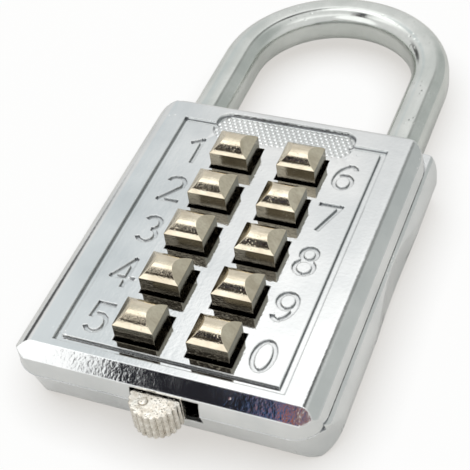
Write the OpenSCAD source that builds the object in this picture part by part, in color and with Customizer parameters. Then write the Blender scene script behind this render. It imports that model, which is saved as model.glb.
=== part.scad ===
// Pushbutton combination padlock, lying on its back.
// X = across the body, Y = along the body toward the shackle, Z = out of the button face.
// Lengths are written from the bottom end (y = 0) and moved so the origin is mid body on the back.

/* [Body] */
// How far the front shell stands in from the widest line of the back shell
shell_step = 1.2; // [0.8:0.1:1.3]
// Rounding of the front shell's long edges
front_round = 2.7; // [1.5:0.1:2.8]
// Corner radius of the front shell at the bottom end, in plan
corner_low = 4; // [2:0.25:5]
// Corner radius of the back shell at the bottom end, in plan
corner_lean = 6.2; // [4:0.1:7]
// Corner radius of the front shell at the shackle end, in plan
corner_top = 2.2; // [1.5:0.1:4]
// Corner radius of the back shell at the shackle end, in plan
corner_back = 1.8; // [1.2:0.1:3]
// Thickness of the back wall
back_wall = 0.9; // [0.8:0.05:1.2]
// Thickness of the face
face_wall = 1.7; // [1.5:0.05:1.9]
// Wall outside each shackle bore, at the widest line
side_wall = 3.55; // [3.2:0.05:4.2]
// Wall between the button cavity and each shackle bore
inner_wall = 2.05; // [1.8:0.05:2.4]
// Distance from the top button row to the shackle end
top_band = 10.04; // [9.9:0.02:12]

/* [Face] */
// Width of the groove round the face
groove_w = 0.9; // [0.5:0.1:1.1]
// Depth of the groove
groove_d = 0.45; // [0.2:0.05:0.7]
// Depth of the dimple panel's floor at the shackle end
panel_d = 0.6; // [0.3:0.05:0.8]
// Pitch of the dimple panel's bumps
bump_pitch = 1.2; // [1.1:0.05:1.6]
// Radius of a bump
bump_r = 0.46; // [0.3:0.02:0.5]
// Height of a bump over the floor
bump_h = 0.14; // [0.06:0.02:0.25]
// Depth of the engraved digits
digit_d = 0.3; // [0.15:0.05:0.6]
// Stroke width of the engraved digits
digit_stroke = 0.62; // [0.4:0.02:0.8]
// Height of the engraved digits
digit_h = 5.2; // [4:0.1:5.8]
// Depth of the finger hollow in each side
scallop_d = 0.8; // [0.3:0.1:1.2]

/* [Buttons] */
// Distance between the two button columns
column_pitch = 9.6; // [9.2:0.1:10.6]
// Distance between button rows
row_pitch = 7.89; // [7.4:0.01:8.6]
// Height of the first row above the bottom end
row_first = 8; // [7.8:0.1:9]
// Button length across the body
button_x = 5.34; // [4.6:0.02:5.5]
// Button width along the body
button_y = 4.74; // [4.2:0.02:5]
// Height of the button's skirt above the face
button_up = 2.43; // [2:0.01:3]
// Rise of the arched crown
crown_h = 1.2; // [0.6:0.05:1.6]
// Length of the slanted facet at each end of the crown
crown_cut = 1.45; // [0.8:0.05:2]
// Button travel
button_travel = 1.2; // [0.8:0.05:1.3]
// Height of a button spring at rest
spring_h = 3.4; // [3.2:0.05:3.8]
// Radius of a code pin
pin_r = 0.85; // [0.6:0.05:0.9]

/* [Shackle] */
// Thickness of the bar, across the body
bar_w = 5.6; // [5:0.1:5.8]
// Thickness of the bar, front to back
bar_t = 5.8; // [5:0.1:6]
// Width of the flats cut on the bar's edges
bar_chamfer = 1.3; // [0.8:0.05:1.6]
// Height of the arch centre above the body
arch_up = 17.5; // [10:0.5:40]
// Shackle lift when open
shackle_lift = 12; // [10:0.5:12]

/* [Release knob] */
// Knob radius
knob_r = 3.2; // [2.8:0.1:3.2]
// Number of flutes round the knob
knob_flutes = 20; // [12:1:24]
// Knob travel
knob_travel = 2; // [1:0.1:2]

/* [Hidden] */
$fn = 48;
bore_gap = 0.2;
hole_gap = 0.38;
hole_x = button_x + 2 * hole_gap;
hole_y = button_y + 2 * hole_gap;
flange_edge = 0.45;
flange_x = hole_x + 2 * flange_edge;
flange_y = hole_y + 2 * flange_edge;
flange_t = 1;
plate_t = 0.5;
bolt_t = 0.7;
lock_t = 0.5;
lay_gap = 0.05;
pin_foot = 0.5;
pin_gap = 0.15;
lock_z = back_wall + pin_gap + button_travel + pin_foot;
bolt_z0 = lock_z + lock_t + lay_gap;
bolt_z1 = bolt_z0 + bolt_t;
plate_z = bolt_z1 + lay_gap;
flange_z0 = plate_z + plate_t + spring_h;
flange_z1 = flange_z0 + flange_t;
wall_in_z = flange_z1 + lay_gap;
body_t = wall_in_z + face_wall;
cav_half = (column_pitch + flange_x) / 2 + 1.5;
leg_in = cav_half + inner_wall + bore_gap;
leg_x = leg_in + bar_w / 2;
half_w = leg_in + bar_w + side_wall;
front_half = half_w - shell_step;
body_l = row_first + 4 * row_pitch + top_band;
seam_d = 2.7;
end_seam_d = 3.5;
seam_z = body_t - seam_d;
end_seam_z = body_t - end_seam_d;
end_band = 2.6;
widest_d = 5.5;
cav_y0 = 3.2;
cav_y1 = body_l - 3.4;
low_y0 = 5.2;
low_y1 = body_l - 5.8;
bar_z = body_t - 6.2;
leg_end = row_first + 6;
bore_end = leg_end - 7.8;
short_end = body_l - 9.6;
short_gap = 0.6;
nose_y = row_first + 2.5 * row_pitch;
nose_half = 1.5;
nose_in = 1.45;
nose_gap = 0.15;
tab_x = -7;
tab_half = 0.5;
pin_stop_r = 0.75;
pin_stop_x = leg_in + 0.15;
pin_stop_y = body_l - 8.6;
notch_in = 1.05;
leg_spring_r = bar_w / 2 - 0.9;
spring_r = 1.45;
spring_wire = 0.16;
small_wire = 0.14;
small_r = (lock_z - back_wall) / 2 - small_wire - 0.16;
small_y = row_first + 1.5 * row_pitch;
small_z = (lock_z + back_wall) / 2;
anchor_x = -cav_half + 1.2;
lug_x = -1.6;
lug_half = 0.6;
slot_x0 = -knob_r - 0.2;
slot_x1 = knob_r + knob_travel + 0.2;
slot_z0 = body_t - 5.7;
slot_z1 = body_t - 1.35;
knob_gap = 0.1;
knob_z0 = slot_z0 + knob_gap;
knob_z1 = wall_in_z;
shank_half = 0.9;
shank_y = row_first - 1.2;
groove_x = front_half - 5.03;
groove_y0 = 3.48;
groove_y1 = body_l - 3.53;
panel_x = groove_x - 4.77;
panel_y0 = row_first + 4 * row_pitch + hole_y / 2 + 0.59;
panel_y1 = body_l - 1.2;
bump_foot = 0.17;
digit_gap = 3.33;
digit_x = column_pitch / 2 + button_x / 2 + digit_gap;
end_lean = 16.5;
plate_screw_y0 = cav_y0 + 1;
plate_screw_y1 = cav_y1 - 1.2;
screw_r = 0.6;
screw_hole_r = screw_r + 0.05;
head_r = 1.05;
head_gap = 0.1;
head_t = 0.45;
hollow_y = row_first + 2.66 * row_pitch;
hollow_r = 22;
hollow_off = 18.9;
eps = 0.01;

// Number n sits in column 0 (1 to 5, from the top) or column 1 (6 to 9, then 0).
function num_col(n) = (n >= 1 && n <= 5) ? 0 : 1;
function num_row(n) = n == 0 ? 0 : (n <= 5 ? 5 - n : 10 - n);
function num_x(n) = (num_col(n) == 0 ? -1 : 1) * column_pitch / 2;
function num_y(n) = row_first + row_pitch * num_row(n);

module placed() {
  translate([0, -body_l / 2, 0]) children();
}

// Plan outline of the body at a given half width.
module plan(h, y0, y1, rl, rt) {
  union() {
    translate([-h, y0 + rl]) square([2 * h, y1 - y0 - rl - rt]);
    translate([-h + rl, y0]) square([2 * (h - rl), rl + 1]);
    translate([-h + rt, y1 - rt - 1]) square([2 * (h - rt), rt + 1]);
    for (s = [-1, 1]) {
      translate([s * (h - rl), y0 + rl]) circle(r = rl);
      translate([s * (h - rt), y1 - rt]) circle(r = rt);
    }
  }
}

// Extrudes a drawing made in (across, up) along Y.
module along_y(y0, y1) {
  translate([0, y1, 0]) rotate([90, 0, 0]) linear_extrude(height = y1 - y0) children();
}

// Extrudes a drawing made in (length, up) along X.
module along_x(x0, x1) {
  translate([x0, 0, 0]) rotate([90, 0, 90]) linear_extrude(height = x1 - x0) children();
}

module box_from(a, b) {
  translate(a) cube([b[0] - a[0], b[1] - a[1], b[2] - a[2]]);
}

// Cross sections of the two shells.
module front_section() {
  union() {
    translate([-front_half, 0]) square([2 * front_half, body_t - front_round]);
    translate([-front_half + front_round, 0]) square([2 * (front_half - front_round), body_t]);
    for (s = [-1, 1]) {
      translate([s * (front_half - front_round), body_t - front_round]) circle(r = front_round);
    }
  }
}

// Half of the back shell's bulging side, from the seam down to the flat back.
function side_curve() = concat(
  [for (i = [8 : -1 : 0]) let (z = (widest_d - seam_d) * i / 8) [half_w - 3.98 + sqrt(3.98 * 3.98 - z * z), body_t - widest_d + z]],
  [for (i = [1 : 9]) let (z = 4.8 * i / 9) [half_w - 6.52 + sqrt(6.52 * 6.52 - z * z), body_t - widest_d - z]],
  [[half_w - 2.5, 0.12], [half_w - 3.2, 0]]
);

module back_section() {
  side = side_curve();
  n = len(side);
  polygon(concat(
    [[front_half, body_t]], side,
    [for (i = [n - 1 : -1 : 0]) [-side[i][0], side[i][1]]], [[-front_half, body_t]]
  ));
}

// Long profile: bevel at the top of the bottom end, undercut curve below its parting line.
module long_profile() {
  polygon([
    [2.45, body_t], [0.4, body_t - 1.05], [0.12, body_t - 1.9], [0, end_seam_z],
    [0.4, end_seam_z - 1.5], [0.82, end_seam_z - 2.8], [1.3, end_seam_z - 4],
    [1.8, end_seam_z - 5.4], [2.5, 0.75], [3.1, 0.35], [3.8, 0.1], [4.6, 0],
    [body_l - 1.2, 0], [body_l - 0.35, 0.35], [body_l, 1.2],
    [body_l, body_t - 0.5], [body_l - 0.15, body_t - 0.15], [body_l - 0.5, body_t]
  ]);
}

// Block whose rounded end leans in below the parting line.
module leaning_end() {
  translate([0, 0, end_seam_z]) rotate([end_lean, 0, 0]) translate([0, 0, -4 * body_t - 10]) linear_extrude(height = 4 * body_t + 10)
    plan(half_w, 0, body_l + 2 * body_t, corner_lean, 1);
}

module body_cut_profile() {
  along_x(-half_w - 1, half_w + 1) long_profile();
}

// Band of the front shell that reaches down to the parting line of the bottom end.
module front_zone() {
  union() {
    box_from([-half_w - 1, -1, seam_z], [half_w + 1, body_l + 1, body_t + 1]);
    box_from([-half_w - 1, -1, end_seam_z], [half_w + 1, end_band, seam_z + eps]);
  }
}

module back_zone() {
  union() {
    box_from([-half_w - 1, -1, -1], [half_w + 1, body_l + 1, end_seam_z]);
    box_from([-half_w - 1, end_band, end_seam_z - eps], [half_w + 1, body_l + 1, seam_z]);
  }
}

// Octagonal section of the shackle bar, grown by g.
module bar_section(g) {
  a = bar_w / 2 + g;
  b = bar_t / 2 + g;
  c = bar_chamfer;
  polygon([
    [a - c, -b], [a, -b + c], [a, b - c], [a - c, b],
    [-a + c, b], [-a, b - c], [-a, -b + c], [-a + c, -b]
  ]);
}

module leg_bores() {
  translate([-leg_x, 0, bar_z]) along_y(bore_end, body_l + 1) bar_section(bore_gap);
  translate([leg_x, 0, bar_z]) along_y(short_end - short_gap, body_l + 1) bar_section(bore_gap);
}

module knob_slot() {
  box_from([slot_x0, -2, slot_z0], [slot_x1, cav_y0 + 0.5, slot_z1]);
}

// A straight stroke of an engraved digit, with square ends half a stroke past its points.
module stroke(x0, y0, x1, y1) {
  k = digit_h / 5.2;
  dx = (x1 - x0) * k;
  dy = (y1 - y0) * k;
  translate([x0 * k, y0 * k]) rotate([0, 0, atan2(dy, dx)]) translate([-digit_stroke / 2, -digit_stroke / 2])
    square([sqrt(dx * dx + dy * dy) + digit_stroke, digit_stroke]);
}

// A curved stroke along part of an ellipse, in n straight steps.
module bow(cx, cy, rx, ry, a0, a1, n) {
  k = digit_h / 5.2;
  h = digit_stroke / 2;
  out = [for (i = [0 : n]) let (a = a0 + (a1 - a0) * i / n) [cx * k + (rx * k + h) * cos(a), cy * k + (ry * k + h) * sin(a)]];
  back = [for (i = [n : -1 : 0]) let (a = a0 + (a1 - a0) * i / n) [cx * k + (rx * k - h) * cos(a), cy * k + (ry * k - h) * sin(a)]];
  polygon(concat(out, back));
}

// A closed ring stroke.
module ring(cx, cy, rx, ry, n) {
  k = digit_h / 5.2;
  h = digit_stroke / 2;
  difference() {
    polygon([for (i = [0 : n - 1]) let (a = 360 * i / n) [cx * k + (rx * k + h) * cos(a), cy * k + (ry * k + h) * sin(a)]]);
    polygon([for (i = [0 : n - 1]) let (a = 360 * i / n) [cx * k + (rx * k - h) * cos(a), cy * k + (ry * k - h) * sin(a)]]);
  }
}

module digit(n) {
  if (n == 1) {
    stroke(-0.9, 1.5, 0.35, 2.25);
    stroke(0.35, 2.25, 0.35, -2.25);
  }
  if (n == 2) {
    bow(0, 1.05, 1.2, 1.2, 165, -25, 7);
    stroke(1.09, 0.54, -1.25, -2.25);
    stroke(-1.25, -2.25, 1.3, -2.25);
  }
  if (n == 3) {
    bow(-0.05, 1.12, 1.1, 1.13, 155, -80, 8);
    bow(-0.05, -1.08, 1.25, 1.17, 80, -155, 8);
  }
  if (n == 4) {
    stroke(0.6, 2.25, -1.4, -0.95);
    stroke(-1.4, -0.95, 1.4, -0.95);
    stroke(0.6, 2.25, 0.6, -2.25);
  }
  if (n == 5) {
    stroke(1.1, 2.25, -0.8, 2.25);
    stroke(-0.8, 2.25, -1, 0.2);
    bow(-0.05, -0.8, 1.3, 1.45, 135, -150, 9);
  }
  if (n == 6) {
    ring(0.05, -0.95, 1.2, 1.3, 14);
    bow(0.75, -0.6, 1.95, 2.85, 105, 190, 5);
    bow(0.35, 1.4, 0.9, 0.85, 110, 10, 3);
  }
  if (n == 7) {
    stroke(-1.3, 2.25, 1.3, 2.25);
    stroke(1.3, 2.25, -0.45, -2.25);
  }
  if (n == 8) {
    ring(0, 1.18, 1.02, 1.07, 12);
    ring(0, -1.1, 1.25, 1.2, 14);
  }
  if (n == 9) {
    ring(-0.05, 0.95, 1.2, 1.3, 14);
    bow(-0.75, 0.6, 1.95, 2.85, 10, -75, 5);
    bow(-0.35, -1.4, 0.9, 0.85, -70, -170, 3);
  }
  if (n == 0) {
    ring(0, 0, 1.25, 2.25, 18);
  }
}

module digits_cut() {
  for (n = [0 : 9]) {
    x = num_col(n) == 0 ? -digit_x - 0.05 : digit_x - 0.05;
    translate([x, num_y(n) + 0.1, body_t - digit_d]) linear_extrude(height = digit_d + 1) digit(n);
  }
}

// Groove round the face: straight on three sides, stepping up round the dimple panel.
module groove_line() {
  difference() {
    translate([-groove_x, groove_y0]) square([2 * groove_x, groove_y1 - groove_y0]);
    translate([-groove_x + groove_w, groove_y0 + groove_w]) square([2 * (groove_x - groove_w), groove_y1 - groove_y0 - 2 * groove_w]);
  }
}

module panel_shape() {
  union() {
    translate([-panel_x + 1.8, panel_y0]) square([2 * (panel_x - 1.8), panel_y1 - panel_y0]);
    translate([-panel_x, panel_y0 + 2.2]) square([2 * panel_x, panel_y1 - panel_y0 - 4]);
    for (s = [-1, 1]) {
      translate([s * (panel_x - 2.2), panel_y0 + 2.2]) circle(r = 2.2);
      translate([s * (panel_x - 1.8), panel_y1 - 1.8]) circle(r = 1.8);
    }
  }
}

// Hollow of the dimple panel: its floor falls from the face at the buttons to its depth at the shackle end.
module panel_hollow() {
  intersection() {
    translate([0, 0, body_t - panel_d]) linear_extrude(height = panel_d + 1) panel_shape();
    along_x(-panel_x - 1, panel_x + 1) polygon([
      [panel_y0 - 1, body_t + panel_d / (panel_y1 - panel_y0)], [panel_y1 + 1, body_t - panel_d * (1 + 1 / (panel_y1 - panel_y0))],
      [panel_y1 + 1, body_t + 1], [panel_y0 - 1, body_t + 1]
    ]);
  }
}

// Hexagonal bumps on the floor of the dimple panel.
module panel_bumps() {
  rows = floor((panel_y1 - panel_y0 - 1.1) / (bump_pitch * 0.866)) + 1;
  for (j = [0 : rows - 1]) {
    y = panel_y0 + 0.65 + j * bump_pitch * 0.866;
    w = (j == 0) ? panel_x - 1.8 : (j == rows - 1 ? panel_x - 1.4 : panel_x - 0.7);
    k = floor(w / bump_pitch);
    for (i = [-k : k]) {
      x = i * bump_pitch + (j % 2) * bump_pitch / 2;
      if (abs(x) < w) {
        low = body_t - panel_d * (y - panel_y0) / (panel_y1 - panel_y0) - bump_foot;
        top = min(low + bump_foot + bump_h, body_t - 0.02);
        translate([x, y, low]) cylinder(r = bump_r, h = top - low, $fn = 6);
      }
    }
  }
}

module button_holes() {
  for (c = [0, 1]) {
    for (r = [0 : 4]) {
      translate([(c == 0 ? -1 : 1) * (column_pitch / 2) + (c == 0 ? 0.2 : 0), row_first + row_pitch * r, wall_in_z])
        translate([-hole_x / 2, -hole_y / 2, -1]) cube([hole_x, hole_y, 4]);
    }
  }
}

module screw_axis(i) {
  x = cav_half + inner_wall / 2;
  y0 = row_first + 0.5;
  y1 = body_l - 5.3;
  p = [[-x, y0], [x, y0], [-x, y1], [x, y1]];
  translate([p[i][0], p[i][1], 0]) children();
}

module front_shell() {
  color("lightgray") placed() union() {
    difference() {
      intersection() {
        linear_extrude(height = body_t + 1) plan(front_half, 0, body_l, corner_low, corner_top);
        along_y(-1, body_l + 1) front_section();
        body_cut_profile();
        front_zone();
      }
      box_from([-cav_half, cav_y0, end_seam_z - 1], [cav_half, cav_y1, wall_in_z]);
      knob_slot();
      button_holes();
      translate([0, 0, body_t - groove_d]) linear_extrude(height = 2) groove_line();
      panel_hollow();
      digits_cut();
      for (i = [0 : 3]) {
        screw_axis(i) translate([0, 0, seam_z - 1]) cylinder(r = screw_hole_r, h = 2.4);
      }
    }
    panel_bumps();
  }
}

// Finger hollow in one side wall: a lens outline, deepest at its middle.
module scallop(s) {
  z = bar_z;
  intersection() {
    translate([s * (half_w - scallop_d + 80), hollow_y, z]) sphere(r = 80, $fn = 160);
    translate([s > 0 ? half_w - 3 : -half_w - 3, hollow_y, z]) rotate([90, 0, 90]) linear_extrude(height = 6) intersection() {
      translate([0, -hollow_off]) circle(r = hollow_r);
      translate([0, hollow_off]) circle(r = hollow_r);
    }
  }
}

module back_shell() {
  color("silver") placed() difference() {
    intersection() {
      linear_extrude(height = body_t + 1) plan(half_w, 0, body_l, corner_lean, corner_back);
      along_y(-1, body_l + 1) back_section();
      body_cut_profile();
      union() {
        leaning_end();
        box_from([-half_w - 1, -1, end_seam_z - eps], [half_w + 1, body_l + 1, body_t]);
      }
      back_zone();
    }
    difference() {
      union() {
        box_from([-cav_half, cav_y0, plate_z], [cav_half, cav_y1, body_t]);
        box_from([-cav_half, low_y0, back_wall], [cav_half, low_y1, plate_z + 0.5]);
      }
      // rails under the lock plate and the anchor post of the knob spring
      for (y = [row_first + row_pitch * 0.5, row_first + row_pitch * 3.5]) {
        box_from([-cav_half - 1, y - 0.5, 0], [cav_half + 1, y + 0.5, lock_z - lay_gap]);
      }
      box_from([-cav_half + 0.3, small_y - lug_half, 0], [anchor_x, small_y + lug_half, lock_z - 0.3]);
    }
    leg_bores();
    knob_slot();
    // window for the latch bolt
    box_from([-leg_x, nose_y - nose_half - 0.1, bolt_z0 - lay_gap], [-cav_half + 1, nose_y + nose_half + 0.1, bolt_z1 + lay_gap]);
    translate([-pin_stop_x, pin_stop_y, back_wall]) cylinder(r = pin_stop_r + 0.05, h = body_t);
    for (i = [0 : 3]) {
      screw_axis(i) translate([0, 0, -1]) cylinder(r = screw_hole_r, h = body_t + 2);
      screw_axis(i) translate([0, 0, -1]) cylinder(r = head_r + 0.1, h = 1 + head_gap + head_t + 0.05);
    }
    for (y = [plate_screw_y0, plate_screw_y1]) {
      translate([0, y, plate_z - 2.3]) cylinder(r = screw_hole_r + 0.05, h = 4);
    }
    scallop(1);
    scallop(-1);
  }
}

module shackle() {
  r = leg_x;
  color("gainsboro") placed() difference() {
    union() {
      translate([0, body_l + arch_up, bar_z]) rotate_extrude(angle = 180, $fn = 96) translate([r, 0]) bar_section(0);
      translate([-r, 0, bar_z]) along_y(leg_end, body_l + arch_up) bar_section(0);
      translate([r, 0, bar_z]) along_y(short_end, body_l + arch_up) bar_section(0);
    }
    // ramp that pushes the latch bolt back as the shackle rises
    translate([0, 0, bolt_z0 - 0.3]) linear_extrude(height = bolt_z1 - bolt_z0 + 0.6) polygon([
      [-leg_in + 1, nose_y - nose_half - (nose_in + nose_gap) * 6],
      [-leg_in, nose_y - nose_half - (nose_in + nose_gap) * 6],
      [-leg_in - nose_in - nose_gap, nose_y - nose_half],
      [-leg_in - nose_in - nose_gap, nose_y + nose_half + 0.2],
      [-leg_in + 1, nose_y + nose_half + 0.2]
    ]);
    // long notch that the stop pin rides in
    box_from([-leg_in - notch_in, pin_stop_y - shackle_lift - pin_stop_r - 0.15, 0], [-leg_in + 1, pin_stop_y + pin_stop_r + 0.15, body_t]);
  }
}

module spring_plate() {
  color("darkgray") placed() difference() {
    box_from([-cav_half + 0.15, cav_y0 + 0.15, plate_z], [cav_half - 0.15, cav_y1 - 0.15, plate_z + plate_t]);
    for (n = [0 : 9]) {
      translate([num_x(n), num_y(n), 0]) cylinder(r = pin_r + 0.12, h = body_t);
    }
    box_from([-shank_half - 0.2, low_y0 + 0.1, 0], [shank_half + 0.2 + knob_travel, shank_y + 0.2, body_t]);
    for (y = [plate_screw_y0, plate_screw_y1]) {
      translate([0, y, 0]) cylinder(r = screw_hole_r + 0.05, h = body_t);
    }
  }
}

// Sliding plate: slots clear the code pins, a post takes the knob's shank, a lug takes its spring.
module lock_plate() {
  color("goldenrod") placed() union() {
    difference() {
      box_from([-cav_half + 0.3, low_y0 + 0.3, lock_z], [cav_half - 0.3 - knob_travel, low_y1 - 0.3, lock_z + lock_t]);
      for (n = [0 : 9]) {
        box_from([num_x(n) - pin_r - 0.15 - knob_travel, num_y(n) - pin_r - 0.15, 0], [num_x(n) + pin_r + 0.15, num_y(n) + pin_r + 0.15, body_t]);
      }
      box_from([-cav_half - 1, nose_y - 0.8, 0], [tab_x + tab_half + 2.3, nose_y + 0.8, body_t]);
    }
    box_from([-shank_half, low_y0 + 0.3, lock_z + lock_t - eps], [shank_half, shank_y, knob_z0 + lay_gap]);
    box_from([lug_x, small_y - lug_half, back_wall + 0.3], [lug_x + 0.8, small_y + lug_half, lock_z + eps]);
  }
}

module latch_bolt() {
  color("peru") placed() union() {
    difference() {
      box_from([-leg_in - nose_in, nose_y - nose_half, bolt_z0], [tab_x + 2.6, nose_y + nose_half, bolt_z1]);
      translate([-leg_in - nose_in, nose_y - nose_half, 0]) rotate([0, 0, 45]) cube([0.8, 0.8, 3 * body_t], center = true);
    }
    box_from([tab_x - tab_half, nose_y - 0.6, lock_z - 0.1], [tab_x + tab_half, nose_y + 0.6, bolt_z0 + eps]);
  }
}

module release_knob() {
  color("wheat") placed() union() {
    difference() {
      translate([0, 0, knob_z0]) cylinder(r = knob_r, h = knob_z1 - knob_z0, $fn = 64);
      for (i = [0 : knob_flutes - 1]) {
        a = 360 * (i + 0.5) / knob_flutes;
        translate([(knob_r + 0.12) * cos(a), (knob_r + 0.12) * sin(a), 0]) cylinder(r = 0.32, h = body_t + 1, $fn = 12);
      }
    }
    translate([-1.1, -1.0, knob_z1 - eps]) cylinder(r = 0.55, h = 0.2, $fn = 24);
    box_from([-shank_half, knob_r - 1, knob_z0 + lay_gap], [shank_half, shank_y, knob_z0 + 1.1]);
  }
}

// Round wire wound into a coil from z = 0 to z = h.
module coil(r, wire, turns, h, steps, sides) {
  n = turns * steps;
  rise = h - 2 * wire;
  pts = [for (i = [0 : n]) for (j = [0 : sides - 1])
    let (a = 360 * i / steps, b = 360 * j / sides)
    [(r + wire * cos(b)) * cos(a), (r + wire * cos(b)) * sin(a), wire + rise * i / n + wire * sin(b)]];
  skin = [for (i = [0 : n - 1]) for (j = [0 : sides - 1]) for (k = [0, 1])
    let (a = i * sides + j, b = i * sides + (j + 1) % sides)
    k == 0 ? [a, b, b + sides] : [a, b + sides, a + sides]];
  ends = [[for (j = [sides - 1 : -1 : 0]) j], [for (j = [0 : sides - 1]) n * sides + j]];
  polyhedron(points = pts, faces = concat(skin, ends), convexity = 6);
}

module knob_spring() {
  color("dimgray") placed() translate([anchor_x + 0.05, small_y, small_z]) rotate([90, 0, 90]) coil(small_r, small_wire, 6, lug_x - anchor_x - 0.1, 14, 5);
}

module shackle_spring() {
  color("dimgray") placed() translate([-leg_x, leg_end - 0.05, bar_z]) rotate([90, 0, 0]) coil(leg_spring_r, 0.25, 5, leg_end - bore_end - 0.1, 14, 5);
}

module stop_pin() {
  color("dimgray") placed() translate([-pin_stop_x, pin_stop_y, back_wall]) cylinder(r = pin_stop_r, h = seam_z - back_wall - lay_gap);
}

module body_screw(i) {
  color("silver") placed() screw_axis(i) difference() {
    union() {
      translate([0, 0, head_gap]) cylinder(r = head_r, h = head_t);
      translate([0, 0, head_gap + head_t - 0.05]) cylinder(r = screw_r, h = seam_z + 1.25 - head_gap - head_t);
    }
    for (a = [0, 90]) {
      rotate([0, 0, a + 20]) translate([-0.7, -0.14, 0]) cube([1.4, 0.28, head_gap + 0.3]);
    }
  }
}

module body_screw_1() {
  body_screw(0);
}

module body_screw_2() {
  body_screw(1);
}

module body_screw_3() {
  body_screw(2);
}

module body_screw_4() {
  body_screw(3);
}

module plate_screw(y) {
  color("silver") placed() translate([0, y, 0]) difference() {
    union() {
      translate([0, 0, plate_z + plate_t]) cylinder(r = 0.95, h = 0.4);
      translate([0, 0, plate_z - 2]) cylinder(r = screw_r, h = plate_t + 2.2);
    }
    translate([-1, -0.12, plate_z + plate_t + 0.2]) cube([2, 0.24, 1]);
  }
}

module plate_screw_1() {
  plate_screw(plate_screw_y0);
}

module plate_screw_2() {
  plate_screw(plate_screw_y1);
}

// One button: flange under the face, square skirt, arched crown cut by a slant at each end.
module button(n) {
  top = body_t + button_up;
  arch_r = (button_y * button_y / 4 + crown_h * crown_h) / (2 * crown_h);
  color("tan") placed() translate([num_x(n), num_y(n), 0]) union() {
    box_from([-button_x / 2, -button_y / 2, flange_z0], [button_x / 2, button_y / 2, top]);
    translate([num_col(n) == 0 ? 0.2 : 0, 0, 0]) box_from([-flange_x / 2, -flange_y / 2, flange_z0], [flange_x / 2, flange_y / 2, flange_z1]);
    intersection() {
      translate([-button_x / 2, 0, top + crown_h - arch_r]) rotate([0, 90, 0]) cylinder(r = arch_r, h = button_x, $fn = 64);
      translate([0, button_y / 2, 0]) rotate([90, 0, 0]) linear_extrude(height = button_y) polygon([
        [-button_x / 2, top - 0.5], [button_x / 2, top - 0.5], [button_x / 2, top],
        [button_x / 2 - crown_cut, top + crown_h], [-button_x / 2 + crown_cut, top + crown_h], [-button_x / 2, top]
      ]);
    }
  }
}

// One code pin under its button, with the waist that the lock plate reads.
module code_pin(n) {
  low = lock_z - 0.1 + ((n == 2 || n == 4 || n == 7 || n == 9) ? button_travel : 0);
  color("darkkhaki") placed() translate([num_x(n), num_y(n), 0]) difference() {
    translate([0, 0, lock_z - pin_foot]) cylinder(r = pin_r, h = flange_z0 - lock_z + pin_foot);
    translate([0, 0, low]) difference() {
      cylinder(r = pin_r + 1, h = lock_t + 0.2);
      translate([0, 0, -1]) cylinder(r = pin_r - 0.25, h = 3);
    }
  }
}

module button_spring(n) {
  color("dimgray") placed() translate([num_x(n), num_y(n), plate_z + plate_t]) coil(spring_r, spring_wire, 3, flange_z0 - plate_z - plate_t, 14, 5);
}

module button_1() { button(1); }
module button_2() { button(2); }
module button_3() { button(3); }
module button_4() { button(4); }
module button_5() { button(5); }
module button_6() { button(6); }
module button_7() { button(7); }
module button_8() { button(8); }
module button_9() { button(9); }
module button_0() { button(0); }
module code_pin_1() { code_pin(1); }
module code_pin_2() { code_pin(2); }
module code_pin_3() { code_pin(3); }
module code_pin_4() { code_pin(4); }
module code_pin_5() { code_pin(5); }
module code_pin_6() { code_pin(6); }
module code_pin_7() { code_pin(7); }
module code_pin_8() { code_pin(8); }
module code_pin_9() { code_pin(9); }
module code_pin_0() { code_pin(0); }
module button_spring_1() { button_spring(1); }
module button_spring_2() { button_spring(2); }
module button_spring_3() { button_spring(3); }
module button_spring_4() { button_spring(4); }
module button_spring_5() { button_spring(5); }
module button_spring_6() { button_spring(6); }
module button_spring_7() { button_spring(7); }
module button_spring_8() { button_spring(8); }
module button_spring_9() { button_spring(9); }
module button_spring_0() { button_spring(0); }

front_shell();
back_shell();
shackle();
spring_plate();
lock_plate();
latch_bolt();
release_knob();
knob_spring();
shackle_spring();
stop_pin();
body_screw_1();
body_screw_2();
body_screw_3();
body_screw_4();
plate_screw_1();
plate_screw_2();
button_1();
button_2();
button_3();
button_4();
button_5();
button_6();
button_7();
button_8();
button_9();
button_0();
code_pin_1();
code_pin_2();
code_pin_3();
code_pin_4();
code_pin_5();
code_pin_6();
code_pin_7();
code_pin_8();
code_pin_9();
code_pin_0();
button_spring_1();
button_spring_2();
button_spring_3();
button_spring_4();
button_spring_5();
button_spring_6();
button_spring_7();
button_spring_8();
button_spring_9();
button_spring_0();
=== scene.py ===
import bpy
import math
from mathutils import Matrix, Vector


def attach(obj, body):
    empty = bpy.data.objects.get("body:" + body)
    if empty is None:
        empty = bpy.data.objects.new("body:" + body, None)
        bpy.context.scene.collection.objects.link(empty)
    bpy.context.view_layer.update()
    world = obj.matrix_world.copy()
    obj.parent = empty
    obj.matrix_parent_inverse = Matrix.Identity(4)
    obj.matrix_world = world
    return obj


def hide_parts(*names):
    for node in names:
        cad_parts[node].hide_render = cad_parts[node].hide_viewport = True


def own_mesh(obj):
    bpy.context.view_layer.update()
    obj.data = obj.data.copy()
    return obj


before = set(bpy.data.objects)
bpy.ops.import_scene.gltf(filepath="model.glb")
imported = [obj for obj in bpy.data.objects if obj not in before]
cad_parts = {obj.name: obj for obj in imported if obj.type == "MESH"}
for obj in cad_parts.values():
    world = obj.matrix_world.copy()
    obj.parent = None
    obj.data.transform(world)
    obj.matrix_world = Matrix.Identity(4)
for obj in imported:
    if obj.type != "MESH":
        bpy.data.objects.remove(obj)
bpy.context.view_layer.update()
print("stage: frame loaded")

mm = 0.001

# camera: fitted to the photograph, angles in degrees and lengths in millimetres
cameraFit = {
    "turn": 26.89, "height": 45.2, "roll": -8.35, "distance": 158.6, "aim": (0.4, 0.93, 10.7),
    "lens": 94.376, "sensorWide": 36, "near": 5, "far": 20000,
}


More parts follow.
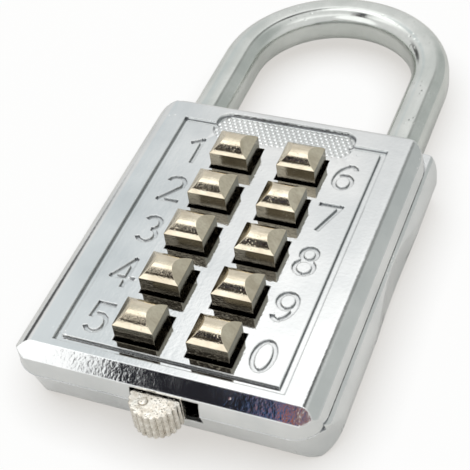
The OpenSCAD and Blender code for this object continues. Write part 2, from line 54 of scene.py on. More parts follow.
def placeCamera():
    turn, height, roll = (math.radians(cameraFit[key]) for key in ("turn", "height", "roll"))
    back = Vector((math.sin(turn) * math.cos(height), -math.cos(turn) * math.cos(height), math.sin(height)))
    right = Vector((math.cos(turn), math.sin(turn), 0))
    up = back.cross(right)
    rolledRight = math.cos(roll) * right + math.sin(roll) * up
    rolledUp = -math.sin(roll) * right + math.cos(roll) * up
    spot = Vector(cameraFit["aim"]) * mm + back * cameraFit["distance"] * mm
    bpy.ops.object.camera_add(location=spot)
    camera = bpy.context.object
    camera.name = "photoCamera"
    camera.matrix_world = Matrix((
        (rolledRight.x, rolledUp.x, back.x, spot.x),
        (rolledRight.y, rolledUp.y, back.y, spot.y),
        (rolledRight.z, rolledUp.z, back.z, spot.z),
        (0, 0, 0, 1)))
    camera.data.sensor_width = cameraFit["sensorWide"]
    camera.data.lens = cameraFit["lens"]
    camera.data.clip_start = cameraFit["near"] * mm
    camera.data.clip_end = cameraFit["far"] * mm
    bpy.context.scene.camera = camera


placeCamera()
bpy.context.scene.view_settings.view_transform = "Standard"


def newMaterial(name):
    material = bpy.data.materials.new(name)
    material.use_nodes = True
    tree = material.node_tree
    return material, tree, tree.nodes["Principled BSDF"]


# values go to the node's input of that name, or else to its setting
def addNode(tree, kind, **values):
    node = tree.nodes.new(kind)
    for key, value in values.items():
        if key in node.inputs.keys():
            node.inputs[key].default_value = value
        else:
            setattr(node, key, value)
    return node


def rampNode(tree, source, stops):
    ramp = tree.nodes.new("ShaderNodeValToRGB")
    stops = list(stops)
    while len(ramp.color_ramp.elements) < len(stops):
        ramp.color_ramp.elements.new(0.5)
    for element, (place, colour) in zip(ramp.color_ramp.elements, stops):
        element.position = place
        element.color = (*colour, 1)
    tree.links.new(source, ramp.inputs["Fac"])
    return ramp.outputs["Color"]


def rangeNode(tree, source, fromRange, toRange=(0.0, 1.0), **values):
    node = addNode(tree, "ShaderNodeMapRange", **values)
    for key, value in zip(("From Min", "From Max", "To Min", "To Max"), (*fromRange, *toRange)):
        node.inputs[key].default_value = value
    tree.links.new(source, node.inputs["Value"])
    return node.outputs["Result"]


black, white = (0, 0, 0), (1, 1, 1)
# where noise values lie, where a streak begins and is full, and how pits gather in groups
noiseSpan = (0.35, 0.65)
streakSpan = (0.42, 0.7)
pitGroups = {"scale": 0.13, "border": 0.03}
# a low tone, painted shade down in the button holes, deepens a little further down, and ends shortly before its upper
# limit
lowTone = {"deepest": 0.7, "endsAt": 0.93}


# plated metal: faint clouding and drawn streaks, painted shade in crevices and, where a low tone is given, painted
# shade lower down, uneven polish, casting ripple and pits
def platedMetal(name, look):
    material, tree, shader = newMaterial(name)
    link = tree.links.new
    place = addNode(tree, "ShaderNodeTexCoord").outputs["Object"]

    def noise(scale, detail, stretch=None):
        source = place
        if stretch:
            pulled = addNode(tree, "ShaderNodeVectorMath", operation="MULTIPLY")
            pulled.inputs[1].default_value = stretch
            link(place, pulled.inputs[0])
            source = pulled.outputs["Vector"]
        node = addNode(tree, "ShaderNodeTexNoise", Scale=scale, Detail=detail)
        link(source, node.inputs["Vector"])
        return node.outputs["Fac"]

    clouds = noise(look["cloudScale"], 4.0)
    tone = rampNode(tree, clouds, zip(noiseSpan, (look["dark"], look["light"])))
    streak = noise(look["streakScale"], 5.0, look["streakPull"])
    amount = addNode(tree, "ShaderNodeMath", operation="MULTIPLY")
    amount.inputs[1].default_value = look["streak"]
    link(rampNode(tree, streak, zip(streakSpan, (black, white))), amount.inputs[0])
    streaked = addNode(tree, "ShaderNodeMix", data_type="RGBA")
    link(amount.outputs[0], streaked.inputs["Factor"])
    link(tone, streaked.inputs["A"])
    streaked.inputs["B"].default_value = (*look["stain"], 1)
    colour = streaked.outputs["Result"]

    # painted shade: ambient occlusion darkens the colour in crevices, grooves and engraved digits, where shade falls
    paintedShades = []
    if look["creviceShadeReach"]:
        openness = addNode(tree, "ShaderNodeAmbientOcclusion", samples=6, Distance=look["creviceShadeReach"] * mm)
        stops = [(look["creviceShadeFrom"], look["paintedShadeTone"]), (look["creviceShadeTo"], white)]
        paintedShades.append(rampNode(tree, openness.outputs["AO"], stops))
    # painted shade: the colour darkens towards the foot of the skirts, where they sink into the shaded holes
    if "lowTone" in look:
        split = addNode(tree, "ShaderNodeSeparateXYZ")
        link(place, split.inputs["Vector"])
        low, high, share = look["lowTone"]
        upward = rangeNode(tree, split.outputs["Z"], (low * mm, high * mm))
        stops = [(0.0, (share * lowTone["deepest"],) * 3), (lowTone["endsAt"], (share,) * 3), (1.0, white)]
        paintedShades.append(rampNode(tree, upward, stops))
    for paintedShadeTone in paintedShades:
        darker = addNode(tree, "ShaderNodeMix", data_type="RGBA", blend_type="MULTIPLY")
        darker.inputs["Factor"].default_value = 1.0
        link(colour, darker.inputs["A"])
        link(paintedShadeTone, darker.inputs["B"])
        colour = darker.outputs["Result"]
    link(colour, shader.inputs["Base Color"])
    smears = noise(look["smearScale"], 4.0)
    link(rangeNode(tree, smears, noiseSpan, look["polish"]), shader.inputs["Roughness"])

    pits = addNode(tree, "ShaderNodeTexVoronoi", Scale=look["pitScale"])
    link(place, pits.inputs["Vector"])
    pitHole = rampNode(tree, pits.outputs["Distance"], [(0.0, black), (look["pitSize"], white)])
    rarity, border = look["pitRarity"], pitGroups["border"]
    groups = noise(look["pitScale"] * pitGroups["scale"], 1.0)
    few = rampNode(tree, groups, [(rarity - border, white), (rarity + border, black)])
    mask = addNode(tree, "ShaderNodeMath", operation="MAXIMUM")
    link(pitHole, mask.inputs[0])
    link(few, mask.inputs[1])

    rounded = addNode(tree, "ShaderNodeBevel", samples=4)
    rounded.inputs["Radius"].default_value = look["edge"] * mm
    normal = rounded.outputs["Normal"]
    layers = [
        (noise(look["waveScale"], 2.0), look["waveDepth"]),
        (noise(look["rippleScale"], 3.0), look["rippleDepth"]),
        (mask.outputs[0], look["pitDepth"]),
    ]
    if "drawn" in look:
        layers.append((streak, look["drawn"]))
    for height, depth in layers:
        bump = addNode(tree, "ShaderNodeBump")
        bump.inputs["Strength"].default_value = 1.0
        bump.inputs["Distance"].default_value = depth * mm
        link(height, bump.inputs["Height"])
        link(normal, bump.inputs["Normal"])
        normal = bump.outputs["Normal"]
    link(normal, shader.inputs["Normal"])
    shader.inputs["Metallic"].default_value = 1.0
    return material


# scales are per metre, depths and reaches in millimetres
# the crevice keys paint shade into hollows: how far it reaches, where its ramp runs, and its darkest tone
shellLook = {
    "dark": (0.73, 0.75, 0.75), "light": (0.88, 0.89, 0.88), "cloudScale": 90.0,
    "streakScale": 1500.0, "streakPull": (1.0, 0.07, 1.0), "streak": 0.05, "stain": (0.6, 0.62, 0.62),
    "smearScale": 300.0, "polish": (0.03, 0.09),
    "waveScale": 420.0, "waveDepth": 0.006, "rippleScale": 2300.0, "rippleDepth": 0.0085,
    "pitScale": 1300.0, "pitSize": 0.25, "pitRarity": 0.69, "pitDepth": 0.03, "edge": 0.22,
    "creviceShadeReach": 0.5, "creviceShadeFrom": 0.42, "creviceShadeTo": 0.82, "paintedShadeTone": (0.2, 0.21, 0.23), "drawn": 0.006,
}
shackleLook = {
    "dark": (0.64, 0.67, 0.64), "light": (0.76, 0.78, 0.75), "cloudScale": 160.0,
    "streakScale": 1200.0, "streakPull": (1.0, 0.1, 1.0), "streak": 0.1, "stain": (0.52, 0.53, 0.52),
    "smearScale": 400.0, "polish": (0.12, 0.2),
    "waveScale": 500.0, "waveDepth": 0.01, "rippleScale": 1900.0, "rippleDepth": 0.006,
    "pitScale": 1200.0, "pitSize": 0.3, "pitRarity": 0.63, "pitDepth": 0.05, "edge": 0.2,
    "creviceShadeReach": 0,
}
# warm nickel buttons: painted shade in their crevices, and painted shade darkening the skirts towards the bottom
nickelLook = {
    "dark": (0.68, 0.6, 0.46), "light": (0.86, 0.78, 0.62), "cloudScale": 420.0,
    "streakScale": 3000.0, "streakPull": (0.25, 1.0, 1.0), "streak": 0.25, "stain": (0.5, 0.43, 0.33),
    "smearScale": 900.0, "polish": (0.04, 0.1),
    "waveScale": 1200.0, "waveDepth": 0.006, "rippleScale": 5200.0, "rippleDepth": 0.011,
    "pitScale": 3600.0, "pitSize": 0.3, "pitRarity": 0.58, "pitDepth": 0.02, "edge": 0.04,
    "creviceShadeReach": 0.8, "creviceShadeFrom": 0.2, "creviceShadeTo": 0.8, "paintedShadeTone": (0.2, 0.18, 0.15),
    "lowTone": (10.7, 13.2, 0.45),
}
knobLook = {
    "dark": (0.74, 0.69, 0.6), "light": (0.97, 0.94, 0.86), "cloudScale": 1500.0,
    "streakScale": 2500.0, "streakPull": (1.0, 1.0, 0.15), "streak": 0.3, "stain": (0.5, 0.42, 0.32),
    "smearScale": 1200.0, "polish": (0.16, 0.34),
    "waveScale": 1400.0, "waveDepth": 0.012, "rippleScale": 4200.0, "rippleDepth": 0.014,
    "pitScale": 3600.0, "pitSize": 0.35, "pitRarity": 0.52, "pitDepth": 0.08, "edge": 0.08,
    "creviceShadeReach": 0.5, "creviceShadeFrom": 0.3, "creviceShadeTo": 0.9, "paintedShadeTone": (0.2, 0.16, 0.12),
}
steelLook = {
    "dark": (0.42, 0.43, 0.45), "light": (0.56, 0.57, 0.59), "cloudScale": 200.0,
    "streakScale": 1600.0, "streakPull": (1.0, 0.2, 1.0), "streak": 0.3, "stain": (0.36, 0.35, 0.34),
    "smearScale": 400.0, "polish": (0.25, 0.4),
    "waveScale": 700.0, "waveDepth": 0.006, "rippleScale": 2500.0, "rippleDepth": 0.006,
    "pitScale": 1500.0, "pitSize": 0.3, "pitRarity": 0.66, "pitDepth": 0.02, "edge": 0.08,
    "creviceShadeReach": 0,
}
brassLook = dict(
    steelLook, dark=(0.62, 0.47, 0.2), light=(0.78, 0.62, 0.32), cloudScale=180.0,
    streakPull=(0.2, 1.0, 1.0), stain=(0.5, 0.36, 0.16), smearScale=300.0, polish=(0.2, 0.34), pitScale=1300.0)
domeLook = dict(shellLook, creviceShadeReach=0, polish=(0.12, 0.2))
flashLook = dict(shellLook, creviceShadeReach=0, light=(0.98, 0.98, 0.98), polish=(0.2, 0.4))
# side joint strip: near black, painted shade of the gap between the shells
jointLook = dict(
    shellLook, creviceShadeReach=0, dark=(0.02, 0.02, 0.02), light=(0.3, 0.3, 0.3), cloudScale=900.0, polish=(0.3, 0.5))

shellChrome = platedMetal("shellChrome", shellLook)
domeChrome = platedMetal("domeChrome", domeLook)
flashChrome = platedMetal("flashChrome", flashLook)
jointShade = platedMetal("jointShade", jointLook)
shackleChrome = platedMetal("shackleChrome", shackleLook)
warmNickel = platedMetal("warmNickel", nickelLook)
knobNickel = platedMetal("knobNickel", knobLook)
plainSteel = platedMetal("plainSteel", steelLook)
stampedBrass = platedMetal("stampedBrass", brassLook)
print("stage: metals ready")


def nodeMaterial(name):
    if name.endswith("_shell"):
        return shellChrome
    if name == "shackle":
        return shackleChrome
    if name == "lock_plate":
        return stampedBrass
    if name == "release_knob" or name.startswith("button") and not name.startswith("button_spring"):
        return warmNickel
    return plainSteel


for nodeName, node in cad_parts.items():
    node.data.materials.clear()
    node.data.materials.append(nodeMaterial(nodeName))

# vertices closer than this are the same corner
weldReach = 0.002


def pick(*pieces):
    bpy.ops.object.select_all(action="DESELECT")
    for piece in pieces:
        piece.select_set(True)
    bpy.context.view_layer.objects.active = pieces[0]


def editing(piece):
    pick(piece)
    bpy.ops.object.mode_set(mode="EDIT")
    bpy.ops.mesh.select_all(action="SELECT")


def editDone():
    bpy.ops.object.mode_set(mode="OBJECT")


def applyModifier(piece, kind, **values):
    pick(piece)
    modifier = piece.modifiers.new(kind.lower(), kind)
    for key, value in values.items():
        setattr(modifier, key, value)
    bpy.ops.object.modifier_apply(modifier=modifier.name)


def softenEdges(piece, width, segments, over):
    applyModifier(piece, "BEVEL", width=width * mm, segments=segments, limit_method="ANGLE",
                  angle_limit=math.radians(over))


def smoothShade(piece, degrees):
    pick(piece)
    bpy.ops.object.shade_smooth_by_angle(angle=math.radians(degrees))


def settle(piece, name, body, material, slotName, *nodes):
    pick(piece)
    bpy.ops.object.transform_apply(location=True, rotation=True, scale=True)
    piece.name = name
    piece.data.name = name
    piece.data.materials.clear()
    piece.data.materials.append(material)
    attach(piece, body)
    if nodes:
        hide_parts(*nodes)


def mergedCopy(nodeName):
    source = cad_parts[nodeName]
    piece = bpy.data.objects.new(nodeName + "Copy", source.data.copy())
    bpy.context.scene.collection.objects.link(piece)
    pick(piece)
    bpy.ops.mesh.customdata_custom_splitnormals_clear()
    editing(piece)
    bpy.ops.mesh.remove_doubles(threshold=weldReach * mm)
    editDone()
    return piece


def copyAt(piece, x, y, z):
    copy = piece.copy()
    copy.data = piece.data.copy()
    bpy.context.scene.collection.objects.link(copy)
    copy.location = (x * mm, y * mm, z * mm)
    return copy


def joined(pieces):
    pick(*pieces)
    bpy.ops.object.join()
    return pieces[0]


def boxPiece(low, high):
    middle = [(a + b) / 2 * mm for a, b in zip(low, high)]
    bpy.ops.mesh.primitive_cube_add(size=1, location=middle)
    piece = bpy.context.object
    piece.scale = [(b - a) * mm for a, b in zip(low, high)]
    bpy.ops.object.transform_apply(location=True, rotation=True, scale=True)
    return piece


# both shells: the solids' own shape with their curved walls smoothed, and the front shell's top corners rounder
shellSizes = {
    "smoothUnder": 26, "flatWeight": 100, "cornerRound": 4.4, "cornerCuts": 11, "halfWide": 20.0, "topY": 24.8,
}


def roundTopCorners(shell):
    radius, cutCount, half, top = (shellSizes[key] for key in ("cornerRound", "cornerCuts", "halfWide", "topY"))
    for step in range(cutCount):
        reach = radius * math.sin(math.radians(step * 90 / cutCount))
        cuts = [((0, (top - radius + reach) * mm, 0), (0, 1, 0))]
        cuts += [((side * (half - radius + reach) * mm, 0, 0), (side, 0, 0)) for side in (-1, 1)]
        for spot, facing in cuts:
            editing(shell)
            bpy.ops.mesh.bisect(plane_co=spot, plane_no=facing)
            editDone()
    for vertex in shell.data.vertices:
        x, y = vertex.co.x / mm, vertex.co.y / mm
        across, along = abs(x) - (half - radius), y - (top - radius)
        away = math.hypot(across, along)
        if across > 0 and along > 0 and away > radius:
            vertex.co.x = math.copysign(half - radius + across * radius / away, x) * mm
            vertex.co.y = (top - radius + along * radius / away) * mm


# the solid's plain bumps give way to the finer domes laid on the panel further down
panel = {"faceZ": 10.7, "deep": 0.6, "halfWide": 10.2, "low": 18.1, "high": 23.6, "bumpHigh": 0.3}
panelMargins = {"side": 0.6, "low": 0.3, "high": 0.2}


def panelFloor(y):
    return panel["faceZ"] - panel["deep"] * (y - panel["low"]) / (panel["high"] - panel["low"])


def flattenPanel(shell):
    half = panel["halfWide"] - panelMargins["side"]
    low, high = panel["low"] + panelMargins["low"], panel["high"] - panelMargins["high"]
    for vertex in shell.data.vertices:
        x, y, z = (value / mm for value in vertex.co)
        if abs(x) < half and low < y < high and panelFloor(y) < z < panelFloor(y) + panel["bumpHigh"]:
            vertex.co.z = panelFloor(y) * mm


for nodeName, pieceName in (("front_shell", "frontShell"), ("back_shell", "backShell")):
    shell = mergedCopy(nodeName)
    if nodeName == "front_shell":
        flattenPanel(shell)
        roundTopCorners(shell)
    smoothShade(shell, shellSizes["smoothUnder"])
    applyModifier(shell, "WEIGHTED_NORMAL", weight=shellSizes["flatWeight"], keep_sharp=True)
    settle(shell, pieceName, "lock_body", shellChrome, "shell_chrome", nodeName)
print("stage: shells ready")

# end flash: a fine bright line along the parting line at the bottom end
flashSizes = {"seamZ": 7.2, "near": 0.012, "beforeY": -22.25, "thick": 0.08, "roundSteps": 1}


def onSeam(spot):
    return abs(spot.z - flashSizes["seamZ"]) < flashSizes["near"] and spot.y < flashSizes["beforeY"]


def endFlash():
    line = mergedCopy("front_shell")
    vertices, edges = line.data.vertices, line.data.edges
    chosen = [edge.index for edge in edges if all(onSeam(vertices[k].co / mm) for k in edge.vertices)]
    editing(line)
    bpy.ops.mesh.select_mode(type="EDGE")
    bpy.ops.mesh.select_all(action="DESELECT")
    editDone()
    for index in chosen:
        line.data.edges[index].select = True
    bpy.ops.object.mode_set(mode="EDIT")
    bpy.ops.mesh.select_all(action="INVERT")
    bpy.ops.mesh.delete(type="EDGE")
    editDone()
    bpy.ops.object.convert(target="CURVE")
    curve = bpy.context.object.data
    curve.bevel_depth = flashSizes["thick"] * mm
    curve.bevel_resolution = flashSizes["roundSteps"]
    bpy.ops.object.convert(target="MESH")
    settle(bpy.context.object, "endFlash", "lock_body", flashChrome, "shell_chrome")


endFlash()

# side joints: a dark strip, painted shade standing in for the shadowed gap where the shells meet on both sides
jointSizes = {"x": 20.0, "z": 8.0, "fromY": -20.8, "toY": 19.8, "thick": 0.05, "sides": 10, "smoothUnder": 50}


def sideJoints():
    long = jointSizes["toY"] - jointSizes["fromY"]
    middle = (jointSizes["fromY"] + jointSizes["toY"]) / 2
    lines = []
    for side in (-1, 1):
        spot = (side * jointSizes["x"] * mm, middle * mm, jointSizes["z"] * mm)
        bpy.ops.mesh.primitive_cylinder_add(vertices=jointSizes["sides"], radius=jointSizes["thick"] * mm,
                                            depth=long * mm, rotation=(math.pi / 2, 0, 0), location=spot)
        lines.append(bpy.context.object)
    joint = joined(lines)
    smoothShade(joint, jointSizes["smoothUnder"])
    settle(joint, "sideJoints", "lock_body", jointShade, "shell_chrome")


sideJoints()

# shackle: one bar with softened flats, bent over and running down into both bores
shackleSizes = {
    "legX": 14.85, "barZ": 4.5, "barWide": 5.6, "barDeep": 5.8, "flat": 1.3, "soften": 0.85, "softSteps": 4,
    "archY": 42.3, "longEnd": -10.8, "shortEnd": 15.2, "tipLong": 0.6, "tipShare": 0.86, "steps": 72,
    "smoothUnder": 24, "cutPast": 1,
    "stopNotch": {"deep": 1.05, "y": (3.3, 16.95), "z": (-1, 12)},
    "boltSeat": {"deep": 1.6, "y": (1.42, 4.62), "z": (3.0, 4.3)},
}


def shackleSection():
    sizes = shackleSizes
    half, deep, flat = sizes["barWide"] / 2, sizes["barDeep"] / 2, sizes["flat"]
    bpy.ops.mesh.primitive_circle_add(vertices=8, radius=half * mm, location=(0, 0, 0))
    section = bpy.context.object
    corners = [(half, -deep + flat), (half, deep - flat), (half - flat, deep), (-half + flat, deep),
               (-half, deep - flat), (-half, -deep + flat), (-half + flat, -deep), (half - flat, -deep)]
    for vertex, (across, up) in zip(section.data.vertices, corners):
        vertex.co = ((sizes["legX"] + across) * mm, sizes["archY"] * mm, (sizes["barZ"] + up) * mm)
    return section


# draws one open end of the arch straight down to its leg's end, with a slightly narrower tip
def drawLeg(bar, side, end):
    sizes = shackleSizes
    mesh = bar.data
    arch = sizes["archY"] * mm
    editing(bar)
    bpy.ops.mesh.select_all(action="DESELECT")
    editDone()
    for edge in mesh.edges:
        spots = [mesh.vertices[k].co for k in edge.vertices]
        edge.select = all(abs(spot.y - arch) < weldReach * mm and spot.x * side > 0 for spot in spots)
        for k in edge.vertices:
            mesh.vertices[k].select = mesh.vertices[k].select or edge.select
    bpy.ops.object.mode_set(mode="EDIT")
    bpy.ops.mesh.select_mode(type="EDGE")
    for reach in (end + sizes["tipLong"] - sizes["archY"], -sizes["tipLong"]):
        bpy.ops.mesh.extrude_edges_move(TRANSFORM_OT_translate={"value": (0, reach * mm, 0)})
    bpy.ops.transform.resize(value=(sizes["tipShare"], 1, sizes["tipShare"]),
                             center_override=(side * sizes["legX"] * mm, end * mm, sizes["barZ"] * mm))
    bpy.ops.mesh.edge_face_add()
    editDone()


def bentShackle():
    sizes = shackleSizes
    bar = shackleSection()
    editing(bar)
    bpy.ops.mesh.bevel(offset=sizes["soften"] * mm, segments=sizes["softSteps"], affect="VERTICES", clamp_overlap=True)
    bpy.ops.mesh.select_all(action="SELECT")
    bpy.ops.mesh.spin(steps=sizes["steps"], angle=-math.pi, center=(0, sizes["archY"] * mm, 0), axis=(0, 0, 1))
    editDone()
    drawLeg(bar, 1, sizes["shortEnd"])
    drawLeg(bar, -1, sizes["longEnd"])
    editing(bar)
    bpy.ops.mesh.remove_doubles(threshold=weldReach * mm)
    bpy.ops.mesh.normals_make_consistent(inside=False)
    editDone()
    inner = sizes["legX"] - sizes["barWide"] / 2
    for cut in (sizes["stopNotch"], sizes["boltSeat"]):
        cutter = boxPiece((-inner - cut["deep"], cut["y"][0], cut["z"][0]),
                          (-inner + sizes["cutPast"], cut["y"][1], cut["z"][1]))
        applyModifier(bar, "BOOLEAN", object=cutter, operation="DIFFERENCE", solver="EXACT")
        bpy.data.objects.remove(cutter)
    smoothShade(bar, sizes["smoothUnder"])
    settle(bar, "bentShackle", "shackle", shackleChrome, "shackle_chrome", "shackle")


bentShackle()
print("stage: shackle ready")

# buttons: arched crown with a slant at each end over a square skirt, on a flange inside the body
buttonSizes = {
    "wide": 5.34, "deep": 4.74, "faceZ": 10.7, "skirt": 2.43, "rise": 1.2, "slant": 1.45, "arc": 18,
    "footZ": 8.27, "edge": 0.03, "columnX": 4.8, "firstY": -16.8, "rowPitch": 7.89,
    "flangeLow": 7.97, "flangeTop": 8.95, "flangeWide": 7.0, "flangeDeep": 6.4, "leftShift": 0.2,
    "edgeSteps": 3, "edgeOver": 24, "smoothUnder": 30, "flatWeight": 60,
}
buttonRows = ((-1, (5, 4, 3, 2, 1)), (1, (0, 9, 8, 7, 6)))


# a grid whose two inner columns are lifted into the crown, drawn down to its foot
def crownedButton():
    sizes = buttonSizes
    top = sizes["faceZ"] + sizes["skirt"]
    radius = (sizes["deep"] ** 2 / 4 + sizes["rise"] ** 2) / (2 * sizes["rise"])
    bpy.ops.mesh.primitive_grid_add(x_subdivisions=3, y_subdivisions=sizes["arc"], size=2)
    button = bpy.context.object
    for vertex in button.data.vertices:
        lifted = abs(vertex.co.x) < 0.5
        y = vertex.co.y * sizes["deep"] / 2
        height = sizes["rise"] - radius + math.sqrt(max(radius ** 2 - y ** 2, 0)) if lifted else 0
        reach = sizes["wide"] / 2 - sizes["slant"] * height / sizes["rise"]
        vertex.co = (math.copysign(reach, vertex.co.x) * mm, y * mm, (top + height) * mm)
    editing(button)
    bpy.ops.mesh.remove_doubles(threshold=weldReach * mm)
    bpy.ops.mesh.select_all(action="SELECT")
    bpy.ops.mesh.extrude_region_move(TRANSFORM_OT_translate={"value": (0, 0, (sizes["footZ"] - top) * mm)})
    bpy.ops.transform.resize(value=(1, 1, 0), center_override=(0, 0, sizes["footZ"] * mm))
    bpy.ops.mesh.select_all(action="SELECT")
    bpy.ops.mesh.normals_make_consistent(inside=False)
    editDone()
    softenEdges(button, sizes["edge"], sizes["edgeSteps"], sizes["edgeOver"])
    return button


def placeButtons():
    sizes = buttonSizes
    first = crownedButton()
    halfWide, halfDeep = sizes["flangeWide"] / 2, sizes["flangeDeep"] / 2
    for column, numbers in buttonRows:
        for row, number in enumerate(numbers):
            x, y = column * sizes["columnX"], sizes["firstY"] + row * sizes["rowPitch"]
            middle = x + (sizes["leftShift"] if column < 0 else 0)
            crown = copyAt(first, x, y, 0)
            flange = boxPiece((middle - halfWide, y - halfDeep, sizes["flangeLow"]),
                              (middle + halfWide, y + halfDeep, sizes["flangeTop"]))
            button = joined([crown, flange])
            smoothShade(button, sizes["smoothUnder"])
            applyModifier(button, "WEIGHTED_NORMAL", weight=sizes["flatWeight"], keep_sharp=True)
            settle(button, "crownedButton%d" % number, "key_%d" % number, warmNickel, "nickel", "button_%d" % number)
    bpy.data.objects.remove(first)


placeButtons()
print("stage: buttons ready")

# button springs: the solids' coils, smoothed, between the spring plate and the flange
springSizes = {"count": 10, "footZ": 4.55, "long": 3.4, "travel": 1.2, "smoothUnder": 40}


def shorteningSprings():
    for number in range(springSizes["count"]):
        node = "button_spring_%d" % number
        coil = mergedCopy(node)
        smoothShade(coil, springSizes["smoothUnder"])
        settle(coil, "shorteningSpring%d" % number, "lock_body", plainSteel, "steel", node)
        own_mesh(coil)


shorteningSprings()
print("stage: springs ready")

# release knob: fluted disc with a small rivet on top and its shank, built about the disc's centre
knobSizes = {
    "radius": 3.2, "low": 5.1, "high": 9.0, "edge": 0.16, "centreY": -24.8,
    "flutes": 24, "fluteDeep": 0.26, "perFlute": 8, "fluteSharp": 0.7,
    "rivetRadius": 0.55, "rivetThick": 0.3, "rivetAt": (-1.1, -1.0), "rivetLift": 0.04, "rivetEdge": 0.07,
    "rivetSides": 28, "rivetSteps": 2, "edgeSteps": 3, "edgeOver": 60, "smoothUnder": 38,
    "shankLow": (-0.9, 2.2, 5.15), "shankHigh": (0.9, 6.8, 6.2),
}


def flutedKnob():
    sizes = knobSizes
    bpy.ops.mesh.primitive_cylinder_add(vertices=sizes["flutes"] * sizes["perFlute"], radius=1, depth=1)
    disc = bpy.context.object
    for vertex in disc.data.vertices:
        turn = math.atan2(vertex.co.y, vertex.co.x)
        wave = abs(math.cos(turn * sizes["flutes"] / 2)) ** sizes["fluteSharp"]
        reach = sizes["radius"] - sizes["fluteDeep"] * (1 - wave)
        level = sizes["high"] if vertex.co.z > 0 else sizes["low"]
        vertex.co = (reach * math.cos(turn) * mm, reach * math.sin(turn) * mm, level * mm)
    softenEdges(disc, sizes["edge"], sizes["edgeSteps"], sizes["edgeOver"])
    rivetX, rivetY = sizes["rivetAt"]
    bpy.ops.mesh.primitive_cylinder_add(
        vertices=sizes["rivetSides"], radius=sizes["rivetRadius"] * mm, depth=sizes["rivetThick"] * mm,
        location=(rivetX * mm, rivetY * mm, (sizes["high"] + sizes["rivetLift"]) * mm))
    rivet = bpy.context.object
    softenEdges(rivet, sizes["rivetEdge"], sizes["rivetSteps"], sizes["edgeOver"])
    knob = joined([disc, rivet, boxPiece(sizes["shankLow"], sizes["shankHigh"])])
    knob.location.y += sizes["centreY"] * mm
    smoothShade(knob, sizes["smoothUnder"])
    settle(knob, "flutedKnob", "slide", knobNickel, "nickel", "release_knob")


flutedKnob()
print("stage: knob ready")

# small domes close together on the sloping floor of the dimple panel
domeSizes = {
    "radius": 0.45, "rise": 0.18, "sink": 0.03, "segments": 14, "rings": 8, "smoothUnder": 50,
    "pitch": 0.8, "rowShare": 0.866, "endMargin": 0.45, "sideMargin": 0.5, "cornerMargin": 1.3,
}


def panelDomes():
    sizes = domeSizes
    bpy.ops.mesh.primitive_uv_sphere_add(segments=sizes["segments"], ring_count=sizes["rings"], radius=1)
    dome = bpy.context.object
    editing(dome)
    bpy.ops.mesh.bisect(plane_co=(0, 0, 0), plane_no=(0, 0, 1), clear_inner=True)
    editDone()
    for vertex in dome.data.vertices:
        x, y, z = vertex.co
        vertex.co = (x * sizes["radius"] * mm, y * sizes["radius"] * mm, (z * sizes["rise"] - sizes["sink"]) * mm)
    rowPitch = sizes["pitch"] * sizes["rowShare"]
    rows = int((panel["high"] - panel["low"] - 2 * sizes["endMargin"]) / rowPitch) + 1
    copies = []
    for row in range(rows):
        y = panel["low"] + sizes["endMargin"] + row * rowPitch
        reach = panel["halfWide"] - sizes["cornerMargin" if row in (0, rows - 1) else "sideMargin"]
        count = int(reach / sizes["pitch"]) + 1
        for k in range(-count, count + 1):
            x = (k + row % 2 / 2) * sizes["pitch"]
            if abs(x) < reach:
                copies.append(copyAt(dome, x, y, panelFloor(y)))
    bpy.data.objects.remove(dome)
    domes = joined(copies)
    smoothShade(domes, sizes["smoothUnder"])
    settle(domes, "panelDomes", "lock_body", domeChrome, "shell_chrome")


panelDomes()
print("stage: dimple panel ready")

# floor: pale and matt to the object, near white with a soft shadow to the camera
studio = {
    "floorColour": (0.82, 0.81, 0.79), "floorRough": 0.9, "floorSize": 3000, "cameraWhite": 0.95,
    "shadowReach": 9.0, "shadowSpan": (0.3, 0.86), "shadowTone": (0.66, 0.64, 0.61), "openTone": (1.0, 1.0, 0.995),
}


def layFloor():
    bpy.ops.mesh.primitive_plane_add(size=studio["floorSize"] * mm, location=(0, 0, 0))
    floor = bpy.context.object
    floor.name = "paleFloor"
    material, tree, shader = newMaterial("paleFloor")
    link = tree.links.new
    shader.inputs["Base Color"].default_value = (*studio["floorColour"], 1)
    shader.inputs["Roughness"].default_value = studio["floorRough"]
    near = addNode(tree, "ShaderNodeAmbientOcclusion", samples=16, Distance=studio["shadowReach"] * mm)
    tones = (studio["shadowTone"], studio["openTone"])
    shade = rampNode(tree, near.outputs["AO"], zip(studio["shadowSpan"], tones))
    glow = addNode(tree, "ShaderNodeEmission")
    link(shade, glow.inputs["Color"])
    glow.inputs["Strength"].default_value = 1.0
    path = addNode(tree, "ShaderNodeLightPath")
    share = addNode(tree, "ShaderNodeMath", operation="MULTIPLY")
    share.inputs[1].default_value = studio["cameraWhite"]
    link(path.outputs["Is Camera Ray"], share.inputs[0])
    mix = addNode(tree, "ShaderNodeMixShader")
    link(share.outputs[0], mix.inputs["Fac"])
    link(shader.outputs["BSDF"], mix.inputs[1])
    link(glow.outputs["Emission"], mix.inputs[2])
    link(mix.outputs["Shader"], tree.nodes["Material Output"].inputs["Surface"])
    floor.data.materials.append(material)


layFloor()

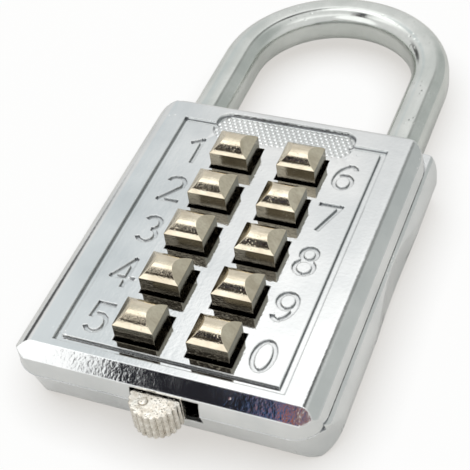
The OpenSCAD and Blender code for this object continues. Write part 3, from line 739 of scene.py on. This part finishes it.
# tent of soft light: its level by height, then patches of light, shade and colour as a chrome lock mirrors
# them, each by its direction, how wide it is along x, y and z, how soft its border is, and its level
tent = {
    "base": [(0.0, 0.72), (0.3, 0.8), (0.55, 0.8), (0.64, 0.84), (0.71, 1.0), (0.79, 1.32), (0.87, 1.2),
             (0.94, 0.9), (1.0, 0.82)],
    "patches": [
        {"toward": (0.5, 0.6, 0.45), "wide": (0.52, 0.8, 0.62), "soft": 0.35, "level": (0.52, 0.54, 0.53)},
        {"toward": (-0.46, 0.55, 0.7), "wide": (0.1, 0.4, 0.3), "soft": 0.6, "level": (0.72, 0.76, 0.78)},
        {"toward": (-0.33, 0.2, 0.92), "wide": (0.3, 0.18, 0.3), "soft": 0.3, "level": (1.7, 1.7, 1.7)},
        {"toward": (-0.33, -0.82, 0.48), "wide": (0.5, 0.2, 0.4), "soft": 0.12, "level": (1.4, 1.4, 1.4)},
        {"toward": (-0.03, 0.49, 0.86), "wide": (0.1, 0.17, 0.2), "soft": 0.4, "level": (0.04, 0.04, 0.04)},
        {"toward": (-0.06, 0.47, 0.88), "wide": (0.11, 0.09, 0.12), "soft": 0.25, "level": (0.05, 0.05, 0.055)},
        {"toward": (0.05, 0.66, 0.75), "wide": (0.11, 0.16, 0.16), "soft": 0.7, "level": (0.3, 0.31, 0.3)},
        {"toward": (-0.76, 0.42, 0.3), "wide": (0.14, 0.2, 0.2), "soft": 0.4, "level": (0.1, 0.1, 0.1)},
        {"toward": (-0.3, -0.33, 0.88), "wide": (0.09, 0.34, 0.4), "soft": 0.1, "level": (0.02, 0.02, 0.025)},
        {"toward": (-0.32, -0.52, 0.78), "wide": (0.16, 0.1, 0.2), "soft": 0.15, "level": (0.06, 0.055, 0.05)},
        {"toward": (-0.254, -0.345, 0.9), "wide": (0.009, 0.06, 0.06), "soft": 0.3, "level": (0.1, 0.2, 0.42)},
        {"toward": (-0.238, -0.35, 0.907), "wide": (0.0085, 0.06, 0.06), "soft": 0.1, "level": (0.5, 0.13, 0.04)},
        {"toward": (-0.222, -0.355, 0.909), "wide": (0.0085, 0.08, 0.08), "soft": 0.1, "level": (0.03, 0.03, 0.03)},
    ],
}


# how much of a patch is seen in a direction: all inside it, none outside
def patchShare(tree, way, patch):
    apart = addNode(tree, "ShaderNodeVectorMath", operation="SUBTRACT")
    apart.inputs[1].default_value = Vector(patch["toward"]).normalized()
    tree.links.new(way, apart.inputs[0])
    shaped = addNode(tree, "ShaderNodeVectorMath", operation="DIVIDE")
    shaped.inputs[1].default_value = patch["wide"]
    tree.links.new(apart.outputs["Vector"], shaped.inputs[0])
    reach = addNode(tree, "ShaderNodeVectorMath", operation="LENGTH")
    tree.links.new(shaped.outputs["Vector"], reach.inputs[0])
    border = (1 - patch["soft"], 1 + patch["soft"])
    return rangeNode(tree, reach.outputs["Value"], border, (1.0, 0.0), interpolation_type="SMOOTHSTEP")


def lightTent():
    world = bpy.data.worlds.new("lightTent")
    bpy.context.scene.world = world
    world.use_nodes = True
    tree = world.node_tree
    link = tree.links.new
    way = addNode(tree, "ShaderNodeTexCoord").outputs["Generated"]
    split = addNode(tree, "ShaderNodeSeparateXYZ")
    link(way, split.inputs["Vector"])
    colour = rampNode(tree, split.outputs["Z"], [(place, (level,) * 3) for place, level in tent["base"]])
    for patch in tent["patches"]:
        mix = addNode(tree, "ShaderNodeMix", data_type="RGBA")
        link(patchShare(tree, way, patch), mix.inputs["Factor"])
        link(colour, mix.inputs["A"])
        mix.inputs["B"].default_value = (*patch["level"], 1)
        colour = mix.outputs["Result"]
    background = tree.nodes["Background"]
    link(colour, background.inputs["Color"])
    background.inputs["Strength"].default_value = 1.0
    plain = addNode(tree, "ShaderNodeBackground")
    plain.inputs["Color"].default_value = (1, 1, 1, 1)
    path = addNode(tree, "ShaderNodeLightPath")
    choose = addNode(tree, "ShaderNodeMixShader")
    link(path.outputs["Is Camera Ray"], choose.inputs["Fac"])
    link(background.outputs["Background"], choose.inputs[1])
    link(plain.outputs["Background"], choose.inputs[2])
    link(choose.outputs["Shader"], tree.nodes["World Output"].inputs["Surface"])


lightTent()
print("stage: floor and light ready")
